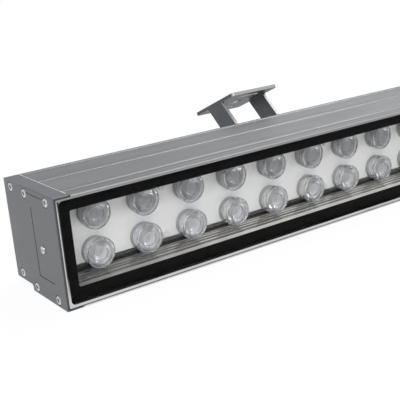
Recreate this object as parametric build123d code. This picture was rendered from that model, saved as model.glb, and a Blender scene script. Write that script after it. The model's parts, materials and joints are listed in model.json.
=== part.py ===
"""Outdoor wall washer light: a 1 m linear floodlight with two rows of lenses behind a black-edged glass.

Working frame: X runs along the light from the left end cap's outer face, Y from the front rim to the back, and
Z up from the underside of the front block. At the end everything moves to the row's origin, which is the
bottom centre of the overall box. All lengths are in millimetres and all angles in degrees.
"""

from build123d import *
from math import cos, radians, sin
import os

# ---------------------------------------------------------------- driving dimensions
# Body
length = 1000.0  # over both end caps
depth = 82.0
height = 79.0
step_y = 54.0  # depth of the front block, whose underside is lower
step_z = 4.0  # how much higher the rear block's underside is
wall = 2.6  # outer walls of the extrusion
web = 2.4  # inner walls of the extrusion
edge_radius = 0.9  # along the light's long edges

# End caps and their gaskets
cap_thickness = 12.0
cap_skin = 3.5
cap_flange = 2.0  # end wall beside the glass frame
cap_relief = 0.8  # the rear block's face lies this much deeper
cap_land = 7.0  # solid land round the cap's hollow
cap_chamfer = 0.5
gasket_thickness = 1.0
gasket_inset = 0.3
groove_width = 1.0
groove_depth = 0.4
panel_rear_y = 37.3  # grooves of the cap's front panel
panel_front_y = 14.7
panel_low_z = 15.8
panel_high_z = 66.0
top_line_inset = 4.0  # groove between the two front screws at the top
top_line_end_gap = 5.0

# Front opening, from the outside in: rim, frame, glass, printed border
rim = 1.3
frame_gap = 0.55
frame_top_gap = 0.3
frame_face = 1.9  # at the bottom and at the ends
frame_top_face = 1.3
frame_setback = 0.2
frame_corner = 1.0
glass_thickness = 4.0
glass_setback = 0.6
glass_gap = 0.1
glass_corner = 3.0
border_side = 9.0
border_bottom = 9.45
border_top = 8.8
border_thickness = 0.2
window_corner = 1.5
seal_thickness = 1.5
seal_edge = 1.0  # from the glass's edge to the seal
seal_width = 3.9

# Optics
column_count = 24
column_pitch = 40.0
row_pitch = 28.8
lens_diameter = 22.6
lens_front_y = 20.0
lens_rim_depth = 4.6
lens_dish = 1.1
lens_step = 0.4
lens_edge = 0.5
lens_pocket = 3.6  # hollow over the emitter
lens_flange_diameter = 22.0
lens_flange_depth = 2.0
holder_diameter = 20.6
holder_depth = 2.6
holder_wall = 1.3
holder_gap = 0.4  # between the lens's waist and the holder's outside
board_front_y = 31.0
board_thickness = 1.6
board_height = 43.4
board_end_gap = 7.0  # from the extrusion's end to the board
board_middle_gap = 15.0  # between the two boards, for the leads
pad_thickness = 0.4
board_screw_radius = 1.45
board_screw_inset = 3.6
board_screw_head = 2.7
board_screw_head_height = 1.6
board_screw_recess = 1.0
socket_length = 6.0
socket_height = 4.5
socket_edge = 0.5
emitter_side = 3.5
emitter_base = 0.8
emitter_dome = 2.4
board_screw_columns = (1, 5, 9)  # screws stand half a pitch after these columns of each board

# Inner floor and ceiling of the optical chamber
lip_y = 9.0
lip_height = 9.0
lip_drop = 7.0  # the ceiling's lip below the top face
floor_end_y = 29.3
lens_floor_gap = 0.6  # from the lower lenses to the ridged floor's rear end
ridge_count = 6
ridge_depth = 0.9
slot_drop = 3.0  # dark slot between the ridged floor and the board
partition_extra = 1.1  # the partition behind the boards is this much thicker than the other webs

# Top grooves
top_groove_y = (11.2, 47.0, 76.4)
top_groove_width = 2.0
top_groove_depth = 0.7
front_band_drop = 0.35

# End cap screws, as (y, z) on the cap's face
port_inset = 5.0
front_port_y = 12.5
middle_port_y = 46.5
rear_port_inset = 10.6
port_radius = 3.3
screw_shank_radius = 1.9
thread_gap = 0.06
screw_reach = 24.0
screw_hole_gap = 0.2
screw_head_radius = 3.3
screw_head_height = 2.2
counterbore_radius = 3.7
counterbore_depth = 2.0
socket_across = 3.0
socket_depth = 1.5
test_port_y = 26.0
test_port_z = 38.0
test_port_radius = 2.4
test_port_head_radius = 2.9
test_port_head_height = 0.8
test_port_slot = 0.7
test_port_tail = 3.0

# Rear T-slot
slot_drop_from_top = 24.5
slot_mouth = 8.2
slot_lip = 2.4
slot_cavity_width = 13.6
slot_cavity_depth = 6.2

# Brackets
bracket_centre_x = 250.0  # from either end
bracket_width = 50.0
bracket_sheet = 3.0
pivot_offset = 14.0  # pivot axis behind the rear face
leg_angle = 41.5  # above horizontal, rearwards, as photographed
plate_angle = 22.5  # the plate's fall towards the back, as photographed
leg_length = 48.0
leg_half_width = 10.3
plate_front = 31.0
plate_rear = 33.0
plate_corner = 3.0
mount_slot_width = 6.6
mount_slot_length = 24.0
mount_slot_offset = 21.0
anchor_hole_radius = 5.25

# Hinge block, its screws and the pivot bolts
side_gap = 0.15  # running gap on each side of a bracket's leg
friction_washer = 1.0
friction_washer_radius = 8.5
block_half_height = 9.5
block_rear = 8.0  # behind the pivot axis
block_round = 6.0
tongue_width = 8.0
tongue_depth = 1.8
block_screw_pitch = 14.0
block_screw_radius = 2.95
block_screw_head_radius = 5.0
block_screw_head_height = 4.0
block_screw_sink = 0.5
head_gap = 0.3
block_screw_socket = 2.9
block_screw_socket_depth = 2.4
slot_nut_length = 30.0
slot_nut_width = 13.0
slot_nut_depth = 4.6
pivot_bolt_radius = 3.0
pivot_running_gap = 0.08
pivot_thread_depth = 9.5
pivot_head_radius = 5.0
pivot_head_height = 4.0
washer_thickness = 1.6
washer_radius = 6.2
lock_washer_thickness = 1.5
lock_washer_radius = 4.9
washer_gap = 0.1

# Driver and wiring compartment
tray_back_gap = 20.0  # from the tray's front to the light's rear face
tray_thickness = 1.5
tray_length = 420.0
tray_offset = 220.0  # from the light's middle to the tray's
rail_height = 3.0
rail_thickness = 1.5
rail_gap = 0.15
driver_length = 240.0
driver_height = 41.0
driver_front_gap = 3.5  # from the partition to the driver
driver_wall = 1.2
driver_board_inset = 1.0
driver_offset = 160.0
driver_board_thickness = 1.6
driver_standoff = 3.0
driver_standoff_radius = 2.5
driver_lid_gap = 0.6  # from the tallest components to the lid
transformer_core = (24.0, 28.0)
transformer_window = (12.0, 20.0)
coil_gap = 0.4
coil_drop = 2.0
output_capacitor_x = 58.0  # from the driver's middle, as the next places
output_capacitor_z = 9.0
output_capacitor_radius = 6.5
input_capacitor_x = -52.0
input_capacitor_pitch = 14.0
input_capacitor_z = 6.0
input_capacitor_radius = 5.0
input_capacitor_share = 0.85  # of the output capacitors' height
capacitor_round = 0.8
chokes = ((84.0, 8.5), (-34.0, 7.0))  # x from the driver's middle, outer radius
choke_share = 0.5  # of the capacitors' height
choke_bore_share = 0.45
transistors = ((30.0, 8.0), (-24.0, -12.0))
transistor_width = 10.0
transistor_thickness = 4.5
transistor_share = 0.83  # of the capacitors' height
strap_inset = 8.0  # from the driver's ends to the straps' middle
strap_width = 10.0
strap_sheet = 1.0
strap_foot = 6.0
strap_screw_radius = 2.7
strap_screw_height = 1.8
terminal_length = 30.0
terminal_depth = 16.0
terminal_height = 22.0
terminal_offset = 340.0
terminal_screw_inset = 7.0
terminal_screw_radius = 1.9
terminal_well_radius = 2.0
terminal_well_depth = 5.0
terminal_screw_sink = 1.5
lead_radius = 1.0
lead_pitch = 5.0
board_lead_radius = 0.8
board_lead_pitch = 1.9
board_lead_split = 1.5  # from the light's middle to each lead in the grommet
lead_hole_gap = 0.1
lead_bend = 3.6
grommet_radius = 5.0
grommet_squeeze = 0.05
grommet_flange = 1.5
grommet_bore = 2.9
grommet_lip = 0.9

# Cable gland in the right end cap
gland_y = 42.0
gland_z = 40.0
gland_thread_radius = 10.0
gland_hex_radius = 13.5
gland_hex_thickness = 5.0
gland_nut_radius = 12.0
gland_nut_length = 14.0
gland_bore_radius = 4.25
gland_seal_radius = 7.2
gland_locknut_thickness = 4.0
gland_washer_thickness = 1.5
gland_washer_rim = 3.0
gland_fit_gap = 0.1
gland_hole_gap = 0.2
gland_cage_length = 8.0
gland_cage_step = 0.6
gland_seal_depth = 4.0
gland_nut_gap = 0.2
gland_nut_round = 3.0
gland_tail = 1.5  # thread left beyond the locknut
gland_flutes = 12
gland_flute_length = 6.0
gland_flute_width = 2.0
gland_flute_depth = 0.35

# ---------------------------------------------------------------- derived places
inner_left = cap_thickness + gasket_thickness
inner_right = length - inner_left
optic_z = (lip_height + height - lip_drop) / 2  # mid height of the two lens rows
floor_end_height = optic_z - row_pitch / 2 - lens_diameter / 2 - lens_floor_gap
slot_z = height - slot_drop_from_top
shelf_y = glass_setback + glass_thickness + border_thickness + seal_thickness
frame_x0 = cap_flange
frame_z0 = rim + frame_gap
frame_z1 = height - rim - frame_top_gap
glass_x0 = frame_x0 + frame_face + glass_gap
glass_z0 = frame_z0 + frame_face + glass_gap
glass_z1 = frame_z1 - frame_top_face - glass_gap
partition_y = board_front_y + board_thickness + pad_thickness
chamber_back_y = partition_y + web + partition_extra
mirror_z = 2 * optic_z
pivot_y = depth + pivot_offset
block_rear_y = pivot_y + block_rear
tray_y = depth - tray_back_gap
tray_centre_x = length / 2 + tray_offset
driver_centre_x = length / 2 + driver_offset
driver_centre_z = (step_z + height) / 2
driver_depth = tray_y - chamber_back_y - driver_front_gap
terminal_centre_x = length / 2 + terminal_offset
node_shapes = {}


# ---------------------------------------------------------------- helpers
FROM_END = (Align.CENTER, Align.CENTER, Align.MIN)


def bar(x, y, z):
    """A box between the low and high ends given for each axis."""
    size = [high - low for low, high in (x, y, z)]
    centre = [(high + low) / 2 for low, high in (x, y, z)]
    return Pos(*centre) * Box(*size)


def prism_x(points, x0, x1):
    """A (y, z) outline pulled along X."""
    return extrude(Plane.YZ.offset(x0) * Polygon(*points, align=None), x1 - x0, dir=(1, 0, 0))


def rod_x(y, z, radius, x0, x1):
    return Pos(x0, y, z) * Rot(0, 90, 0) * Cylinder(radius, x1 - x0, align=FROM_END)


def rod_y(x, z, radius, y0, y1):
    return Pos(x, y0, z) * Rot(-90, 0, 0) * Cylinder(radius, y1 - y0, align=FROM_END)


def ring_y(x, z, outer, inner, y0, y1):
    return rod_y(x, z, outer, y0, y1) - rod_y(x, z, inner, y0 - 1, y1 + 1)


def ring_x(y, z, outer, inner, x0, x1):
    return rod_x(y, z, outer, x0, x1) - rod_x(y, z, inner, x0 - 1, x1 + 1)


def hex_x(y, z, radius, x0, x1):
    face = Plane.YZ.offset(x0) * Pos(y, z) * RegularPolygon(radius, 6)
    return extrude(face, x1 - x0)


def plate_xz(x, z, y0, y1, corner):
    """A flat plate facing the front, with round corners."""
    width, tall = x[1] - x[0], z[1] - z[0]
    face = Plane(origin=((x[0] + x[1]) / 2, y0, (z[0] + z[1]) / 2), x_dir=(1, 0, 0), z_dir=(0, 1, 0))
    return extrude(face * RectangleRounded(width, tall, corner), y1 - y0)


def group(parts):
    """Separate solids held in one node."""
    solids = []
    for part in parts:
        solids.extend(part.solids())
    return Compound(children=solids)


def mirrored(shape):
    """The same piece at the other end of the light."""
    return mirror(shape, about=Plane.YZ.offset(length / 2))


def keep(name, shape):
    node_shapes[name] = shape


# ---------------------------------------------------------------- outlines
def body_outline(inset=0.0):
    return [
        (inset, inset),
        (step_y - inset, inset),
        (step_y - inset, step_z + inset),
        (depth - inset, step_z + inset),
        (depth - inset, height - inset),
        (inset, height - inset),
    ]


def body_prism(inset, x0, x1):
    """The body's outline pulled along X, with its long edges rounded."""
    prism = prism_x(body_outline(inset), x0, x1)
    return fillet(prism.edges().filter_by(Axis.X), edge_radius)


def screw_places():
    """The six end screws, as (y, z)."""
    rear_y = depth - rear_port_inset
    return [
        (front_port_y, height - port_inset),
        (middle_port_y, height - port_inset),
        (rear_y, height - port_inset),
        (front_port_y, port_inset),
        (middle_port_y, port_inset),
        (rear_y, step_z + port_inset),
    ]


def floor_profile():
    """The ridged floor of the optical chamber, from the lip to its rear end."""
    run = (floor_end_y - lip_y) / (ridge_count + 1)
    rise = (floor_end_height - lip_height) / (ridge_count + 1)
    points = [(shelf_y - 1, lip_height), (lip_y, lip_height)]
    for ridge in range(1, ridge_count + 1):
        y, z = lip_y + ridge * run, lip_height + ridge * rise
        points += [(y, z), (y + run * 0.25, z - ridge_depth), (y + run * 0.5, z + rise * 0.5)]
    points.append((floor_end_y, floor_end_height))
    return points


# ---------------------------------------------------------------- extrusion
def housing():
    body = body_prism(0, inner_left, inner_right)
    x0, x1 = inner_left - 1, inner_right + 1

    # front rebate for the frame and the glass
    body -= bar((x0, x1), (-1, shelf_y), (rim, height - rim))

    # optical chamber, symmetric about the lens rows
    slot_floor = floor_end_height - slot_drop
    lower = floor_profile() + [(floor_end_y, slot_floor), (partition_y, slot_floor)]
    upper = [(y, mirror_z - z) for y, z in reversed(lower)]
    body -= prism_x(lower + upper, x0, x1)

    # hollows behind the sloping floor and ceiling
    slot_back = partition_y + 0.5
    floor_under = lip_height - web
    slope = (floor_end_height - lip_height) / (floor_end_y - lip_y)
    bend_y = floor_end_y - web
    bend_z = floor_under + slope * (bend_y - lip_y) - ridge_depth
    under = min(slot_floor - web, bend_z)
    body -= prism_x([(lip_y, wall), (slot_back, wall), (slot_back, under), (bend_y, under),
                     (lip_y, floor_under - ridge_depth)], x0, x1)
    ceiling_y = front_port_y + port_radius + 1
    ceiling_z = mirror_z - (floor_under + slope * (ceiling_y - lip_y) - ridge_depth)
    body -= prism_x([(ceiling_y, height - wall), (slot_back, height - wall), (slot_back, mirror_z - under),
                     (bend_y, mirror_z - under), (ceiling_y, ceiling_z)], x0, x1)

    # driver compartment, round the T-slot channel
    channel_y = depth - slot_lip - slot_cavity_depth - web
    channel_half = slot_cavity_width / 2 + web
    body -= prism_x(
        [
            (chamber_back_y, wall), (step_y - wall, wall), (step_y - wall, step_z + wall),
            (depth - wall, step_z + wall), (depth - wall, slot_z - channel_half),
            (channel_y, slot_z - channel_half), (channel_y, slot_z + channel_half),
            (depth - wall, slot_z + channel_half), (depth - wall, height - wall),
            (chamber_back_y, height - wall),
        ], x0, x1)

    # T-slot
    body -= bar((x0, x1), (depth - slot_lip - 1, depth + 1),
                (slot_z - slot_mouth / 2, slot_z + slot_mouth / 2))
    body -= bar((x0, x1), (depth - slot_lip - slot_cavity_depth, depth - slot_lip),
                (slot_z - slot_cavity_width / 2, slot_z + slot_cavity_width / 2))

    # screw ports along the walls
    for y, z in screw_places():
        body += rod_x(y, z, port_radius, inner_left, inner_right)

    # rails for the driver tray
    rail_floor, rail_ceiling = step_z + wall, height - wall
    for low, high in ((rail_floor, rail_floor + rail_height), (rail_ceiling - rail_height, rail_ceiling)):
        for y in (tray_y - rail_gap - rail_thickness, tray_y + tray_thickness + rail_gap):
            body += bar((inner_left, inner_right), (y, y + rail_thickness), (low, high))
    for y, z in screw_places():
        body -= rod_x(y, z, screw_shank_radius + thread_gap, x0, x1)

    # V grooves and the lower front band on the top
    for y in top_groove_y:
        body -= prism_x([(y, height), (y + top_groove_width, height),
                         (y + top_groove_width / 2, height - top_groove_depth)], x0, x1)
    band_end = top_groove_y[0] + top_groove_width / 2
    body -= bar((x0, x1), (-1, band_end), (height - front_band_drop, height + 1))

    # hole for the leads between the two boards, and the board screws' threads
    body -= rod_y(length / 2, optic_z, grommet_radius, partition_y - 1, chamber_back_y + 1)
    for x, z in board_screw_places():
        body -= rod_y(x, z, board_screw_radius + thread_gap, partition_y - 1, chamber_back_y + 1)
    return body


# ---------------------------------------------------------------- end caps
def cap_hollow(x0, x1):
    """The hollow behind an end cap, which its gasket leaves open."""
    side = front_port_y + port_radius + 2
    return bar((x0, x1), (side, depth - cap_land), (step_z + wall + cap_land, height - port_inset - cap_land))


def blank_cap():
    cap = body_prism(0, 0, cap_thickness)
    outer_face = cap.faces().sort_by(Axis.X)[0]
    cap = chamfer(outer_face.edges(), cap_chamfer)
    cap -= bar((-1, cap_relief), (step_y + 0.5, depth + 1), (-1, height + 1))
    cap -= bar((frame_x0, cap_thickness + 1), (-1, shelf_y), (rim, height - rim))
    cap -= cap_hollow(cap_skin, cap_thickness + 1)
    for y, z in screw_places():
        seat = screw_seat(y)
        cap -= rod_x(y, z, counterbore_radius, -1, seat)
        cap -= rod_x(y, z, screw_shank_radius + screw_hole_gap, -1, cap_thickness + 1)
    # grooves pressed into the face: two sides of the front panel, and the line between the top screws
    for y, z in (
        ((panel_rear_y, panel_rear_y + groove_width), (panel_low_z, panel_high_z)),
        ((panel_front_y, panel_rear_y + groove_width), (panel_low_z, panel_low_z + groove_width)),
        ((front_port_y + top_line_end_gap, middle_port_y - top_line_end_gap),
         (height - top_line_inset, height - top_line_inset + groove_width)),
    ):
        cap -= bar((-1, groove_depth), y, z)
    return cap


def screw_seat(y):
    """Depth of a screw's seat, measured from the cap's foremost face."""
    return counterbore_depth + (cap_relief if y > step_y else 0)


def left_cap():
    cap = blank_cap()
    return cap - rod_x(test_port_y, test_port_z, test_port_radius + thread_gap, -1, cap_skin + 1)


def right_cap():
    cap = mirrored(blank_cap())
    hole = gland_thread_radius + gland_hole_gap
    return cap - rod_x(gland_y, gland_z, hole, length - cap_thickness - 1, length + 1)


def end_gasket():
    x0, x1 = cap_thickness, cap_thickness + gasket_thickness
    gasket = body_prism(gasket_inset, x0, x1)
    gasket -= bar((x0 - 1, x1 + 1), (-1, shelf_y), (-1, height + 1))
    gasket -= cap_hollow(x0 - 1, x1 + 1)
    for y, z in screw_places():
        gasket -= rod_x(y, z, screw_shank_radius + screw_hole_gap, x0 - 1, x1 + 1)
    return gasket


def cap_screw(y, z):
    seat = screw_seat(y)
    screw = rod_x(y, z, screw_head_radius, seat - screw_head_height, seat)
    screw = fillet(screw.edges().sort_by(Axis.X)[0], 0.7)
    screw += rod_x(y, z, screw_shank_radius, seat, screw_reach)
    socket = socket_across / 2 / cos(radians(30))
    return screw - hex_x(y, z, socket, -1, seat - screw_head_height + socket_depth)


def test_port_screw():
    y, z = test_port_y, test_port_z
    half_slot = test_port_slot / 2
    screw = rod_x(y, z, test_port_head_radius, -test_port_head_height, 0)
    screw = fillet(screw.edges().sort_by(Axis.X)[0], test_port_head_height * 0.6)
    screw += rod_x(y, z, test_port_radius, 0, cap_skin + test_port_tail)
    return screw - bar((-test_port_head_height - 1, -test_port_head_height * 0.4),
                       (y - test_port_radius, y + test_port_radius), (z - half_slot, z + half_slot))


# ---------------------------------------------------------------- front glass and its frame
def frame_ring():
    x, z = (frame_x0, length - frame_x0), (frame_z0, frame_z1)
    outer = plate_xz(x, z, frame_setback, shelf_y, frame_corner)
    inner_x = (glass_x0 - glass_gap, length - glass_x0 + glass_gap)
    inner_z = (glass_z0 - glass_gap, glass_z1 + glass_gap)
    return outer - plate_xz(inner_x, inner_z, frame_setback - 1, shelf_y + 1, glass_corner)


def glass_pane():
    return plate_xz((glass_x0, length - glass_x0), (glass_z0, glass_z1), glass_setback,
                    glass_setback + glass_thickness, glass_corner)


def glass_border():
    y0 = glass_setback + glass_thickness
    y1 = y0 + border_thickness
    ring = plate_xz((glass_x0, length - glass_x0), (glass_z0, glass_z1), y0, y1, glass_corner)
    window_x = (glass_x0 + border_side, length - glass_x0 - border_side)
    window_z = (glass_z0 + border_bottom, glass_z1 - border_top)
    return ring - plate_xz(window_x, window_z, y0 - 1, y1 + 1, window_corner)


def glass_seal():
    def outline(inset, y0, y1, corner):
        x = (glass_x0 + inset, length - glass_x0 - inset)
        z = (glass_z0 + inset, glass_z1 - inset)
        return plate_xz(x, z, y0, y1, corner)

    ring = outline(seal_edge, shelf_y - seal_thickness, shelf_y, glass_corner - seal_edge)
    return ring - outline(seal_edge + seal_width, shelf_y - seal_thickness - 1, shelf_y + 1, window_corner)


# ---------------------------------------------------------------- boards, emitters and lenses
def lens_column_x(column):
    return length / 2 + (column - (column_count - 1) / 2) * column_pitch


def lens_row_z(row):
    return optic_z + (row - 0.5) * row_pitch


def board_span(side):
    """Ends of the left (0) or right (1) board."""
    if side == 0:
        return inner_left + board_end_gap, (length - board_middle_gap) / 2
    return (length + board_middle_gap) / 2, inner_right - board_end_gap


def board_screw_places():
    places = []
    half = column_count // 2
    reach = board_height / 2 - board_screw_inset
    for side in (0, 1):
        for column in board_screw_columns:
            x = lens_column_x(column + side * half) + column_pitch / 2
            places += [(x, optic_z - reach), (x, optic_z + reach)]
    return places


def led_board(side):
    x0, x1 = board_span(side)
    board = bar((x0, x1), (board_front_y, board_front_y + board_thickness),
                (optic_z - board_height / 2, optic_z + board_height / 2))
    for x, z in board_screw_places():
        if x0 < x < x1:
            board -= rod_y(x, z, board_screw_radius + screw_hole_gap, board_front_y - 1, partition_y)
    return board


def thermal_pad(side):
    x0, x1 = board_span(side)
    y0 = board_front_y + board_thickness
    pad = bar((x0, x1), (y0, y0 + pad_thickness), (optic_z - board_height / 2, optic_z + board_height / 2))
    for x, z in board_screw_places():
        if x0 < x < x1:
            pad -= rod_y(x, z, board_screw_radius + screw_hole_gap, y0 - 1, y0 + pad_thickness + 1)
    return pad


def board_screws():
    screws = []
    for x, z in board_screw_places():
        front = board_front_y - board_screw_head_height
        head = rod_y(x, z, board_screw_head, front, board_front_y)
        head -= rod_y(x, z, board_screw_recess, front - 1, front + board_screw_head_height / 2)
        screws.append(head + rod_y(x, z, board_screw_radius, board_front_y, partition_y + web))
    return group(screws)


def emitter():
    side = emitter_side / 2
    base = bar((-side, side), (board_front_y - emitter_base, board_front_y), (-side, side))
    dome = Pos(0, board_front_y - emitter_base, 0) * Sphere(emitter_dome / 2)
    front = bar((-side, side), (board_front_y - emitter_base - emitter_dome, board_front_y - emitter_base),
                (-side, side))
    return base + (dome & front)


def lens():
    """A collimating lens: a thick dished disc, a stepped waist and a hollow for the emitter."""
    radius, flange = lens_diameter / 2, lens_flange_diameter / 2
    waist = holder_diameter / 2 - holder_gap
    front, back = lens_front_y, board_front_y - holder_depth
    rim_back, flange_back = front + lens_rim_depth, front + lens_rim_depth + lens_flange_depth
    outline = [
        (0, front + lens_dish), (radius * 0.52, front + lens_dish), (radius * 0.60, front + lens_step),
        (radius * 0.84, front + lens_step), (radius * 0.90, front), (radius - lens_edge, front),
        (radius, front + lens_edge), (radius, rim_back), (flange, rim_back), (flange, flange_back),
        (waist, flange_back), (waist, back), (emitter_side * 1.1, back),
        (emitter_side * 0.8, back - lens_pocket * 0.8), (0, back - lens_pocket),
    ]
    return revolve(make_face(Polyline(*outline, close=True)), Axis.Y)


def holder():
    """The ring that stands a lens off the board."""
    outer = holder_diameter / 2
    return ring_y(0, 0, outer, outer - holder_wall, board_front_y - holder_depth, board_front_y)


def optic_row(piece, row):
    return [Pos(lens_column_x(column), 0, lens_row_z(row)) * piece for column in range(column_count)]


def board_connector(side):
    """A two-pole socket at the inner end of a board."""
    direction = 1 if side else -1
    end = length / 2 + direction * (board_middle_gap / 2 + socket_edge)
    x = sorted((end, end + direction * socket_length))
    half = socket_length / 2
    return bar(x, (board_front_y - socket_height, board_front_y), (optic_z - half, optic_z + half))


# ---------------------------------------------------------------- driver compartment
def driver_tray():
    half = tray_length / 2
    x = (tray_centre_x - half, tray_centre_x + half)
    z = (step_z + wall + rail_gap, height - wall - rail_gap)
    return bar(x, (tray_y, tray_y + tray_thickness), z)


def driver_box():
    half_x, half_z = driver_length / 2, driver_height / 2
    x = (driver_centre_x - half_x, driver_centre_x + half_x)
    z = (driver_centre_z - half_z, driver_centre_z + half_z)
    return x, (tray_y - driver_depth, tray_y), z


def driver_case():
    x, y, z = driver_box()
    w = driver_wall
    case = bar(x, (y[0] + w, y[1]), z)
    case -= bar((x[0] + w, x[1] - w), (y[0], y[1] - w), (z[0] + w, z[1] - w))
    for z_lead in output_lead_heights():
        case -= rod_x(driver_lead_y(), z_lead, board_lead_radius + lead_hole_gap, x[0] - 1, x[0] + w + 1)
    for z_lead in input_lead_heights():
        case -= rod_x(driver_lead_y(), z_lead, lead_radius + lead_hole_gap, x[1] - w - 1, x[1] + 1)
    return case


def driver_lid():
    x, y, z = driver_box()
    return bar(x, (y[0], y[0] + driver_wall), z)


def driver_board_y():
    return tray_y - driver_wall - driver_standoff - driver_board_thickness


def driver_board():
    x, y, z = driver_box()
    inset = driver_wall + driver_board_inset
    return bar((x[0] + inset, x[1] - inset), (driver_board_y(), driver_board_y() + driver_board_thickness),
               (z[0] + inset, z[1] - inset))


def driver_standoffs():
    x, y, z = driver_box()
    y0 = driver_board_y() + driver_board_thickness
    posts = []
    inset = driver_wall + driver_board_inset + 2 * driver_standoff_radius
    for px in (x[0] + inset, x[1] - inset):
        for pz in (z[0] + inset, z[1] - inset):
            posts.append(rod_y(px, pz, driver_standoff_radius, y0, tray_y - driver_wall))
    return group(posts)


def on_driver_board(x, z, size_x, size_z, tall):
    """A box-shaped component standing on the driver's board, placed from the driver's middle."""
    cx, cz = driver_centre_x + x, driver_centre_z + z
    face = driver_board_y()
    return bar((cx - size_x / 2, cx + size_x / 2), (face - tall, face), (cz - size_z / 2, cz + size_z / 2))


def can_on_driver_board(x, z, radius, tall):
    face = driver_board_y()
    can = rod_y(driver_centre_x + x, driver_centre_z + z, radius, face - tall, face)
    return fillet(can.edges().sort_by(Axis.Y)[0], capacitor_round)


def component_height():
    """Room above the driver's board, less a small gap to the lid."""
    return driver_board_y() - (tray_y - driver_depth + driver_wall) - driver_lid_gap


def driver_transformer():
    tall = component_height()
    window_x, window_z = transformer_window
    core = on_driver_board(0, 0, *transformer_core, tall)
    core -= on_driver_board(0, 0, window_x, window_z, tall + 1)
    coil = on_driver_board(0, 0, window_x - coil_gap, window_z - coil_gap, tall - coil_drop)
    return group([core, coil])


def driver_capacitors():
    tall = component_height()
    cans = [can_on_driver_board(output_capacitor_x, side * output_capacitor_z, output_capacitor_radius, tall)
            for side in (-1, 1)]
    for step in (0, 1):
        x = input_capacitor_x - step * input_capacitor_pitch
        cans.append(can_on_driver_board(x, input_capacitor_z, input_capacitor_radius,
                                        tall * input_capacitor_share))
    return group(cans)


def driver_chokes():
    face = driver_board_y()
    rings = []
    front = face - component_height() * choke_share
    for x, outer in chokes:
        inner = outer * choke_bore_share
        rings.append(ring_y(driver_centre_x + x, driver_centre_z, outer, inner, front, face))
    return group(rings)


def driver_transistors():
    tall = component_height() * transistor_share
    return group([on_driver_board(x, z, transistor_width, transistor_thickness, tall) for x, z in transistors])


def driver_clips():
    """Two straps that hold the driver down on its tray."""
    y, z = driver_box()[1:]
    t = strap_sheet
    low, high = z[0] - t, z[1] + t
    outline = [
        (tray_y, low - strap_foot), (tray_y - t, low - strap_foot), (tray_y - t, low), (y[0] - t, low),
        (y[0] - t, high), (tray_y - t, high), (tray_y - t, high + strap_foot), (tray_y, high + strap_foot),
        (tray_y, z[1]), (y[0], z[1]), (y[0], z[0]), (tray_y, z[0]),
    ]
    return group([prism_x(outline, x - strap_width / 2, x + strap_width / 2) for x in strap_places()])


def strap_places():
    x = driver_box()[0]
    return x[0] + strap_inset, x[1] - strap_inset


def clip_screws():
    z = driver_box()[2]
    seat = tray_y - strap_sheet
    inset = strap_sheet + strap_foot / 2
    screws = []
    for x in strap_places():
        for z_screw in (z[0] - inset, z[1] + inset):
            screws.append(rod_y(x, z_screw, strap_screw_radius, seat - strap_screw_height, seat))
    return group(screws)


def terminal_box():
    half = terminal_length / 2
    x = (terminal_centre_x - half, terminal_centre_x + half)
    z = (driver_centre_z - terminal_height / 2, driver_centre_z + terminal_height / 2)
    return x, (tray_y - terminal_depth, tray_y), z


def terminal_block():
    x, y, z = terminal_box()
    block = bar(x, y, z)
    for px, pz in terminal_screw_places():
        block -= rod_y(px, pz, terminal_well_radius, y[0] - 1, y[0] + terminal_well_depth)
    return block


def terminal_screw_places():
    x = terminal_box()[0]
    inset = terminal_screw_inset
    return [(px, pz) for pz in input_lead_heights() for px in (x[0] + inset, x[1] - inset)]


def terminal_screws():
    y = terminal_box()[1]
    span = (y[0] + terminal_screw_sink, y[0] + terminal_well_depth)
    return group([rod_y(x, z, terminal_screw_radius, *span) for x, z in terminal_screw_places()])


def input_lead_heights():
    return [driver_centre_z + step * lead_pitch for step in (-1, 0, 1)]


def output_lead_heights():
    return [optic_z + step * board_lead_pitch for step in (-0.5, 0.5)]


def driver_lead_y():
    """Height of the leads' holes in the driver's ends, in front of its board."""
    return (tray_y - driver_depth + driver_wall + driver_board_y()) / 2


def mains_leads():
    """Three leads from the terminal block to the driver."""
    x0 = driver_box()[0][1] - driver_wall
    x1 = terminal_box()[0][0]
    return group([rod_x(driver_lead_y(), z, lead_radius, x0, x1) for z in input_lead_heights()])


def board_leads():
    """Two leads from the driver, through the grommet, to the boards' sockets."""
    leads = []
    socket_y = board_front_y - socket_height / 2
    start_x = driver_box()[0][0] + driver_wall
    for side, z in zip((-1, 1), output_lead_heights()):
        hole_x = length / 2 + side * board_lead_split
        end_x = length / 2 + side * (board_middle_gap / 2 + socket_edge)
        route = [(start_x, driver_lead_y(), z), (hole_x, driver_lead_y(), z), (hole_x, socket_y, z),
                 (end_x, socket_y, z)]
        path = FilletPolyline(*route, radius=lead_bend)
        section = Plane(origin=route[0], z_dir=(-1, 0, 0)) * Circle(board_lead_radius)
        leads.append(sweep(section, path=path))
    return group(leads)


def grommet():
    x, z = length / 2, optic_z
    lip_radius = grommet_radius + grommet_flange
    front, back = partition_y - grommet_lip, chamber_back_y + grommet_lip
    body = rod_y(x, z, grommet_radius - grommet_squeeze, front, back)
    body += rod_y(x, z, lip_radius, front, partition_y)
    body += rod_y(x, z, lip_radius, chamber_back_y, back)
    return body - rod_y(x, z, grommet_bore, front - 1, back + 1)


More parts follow.
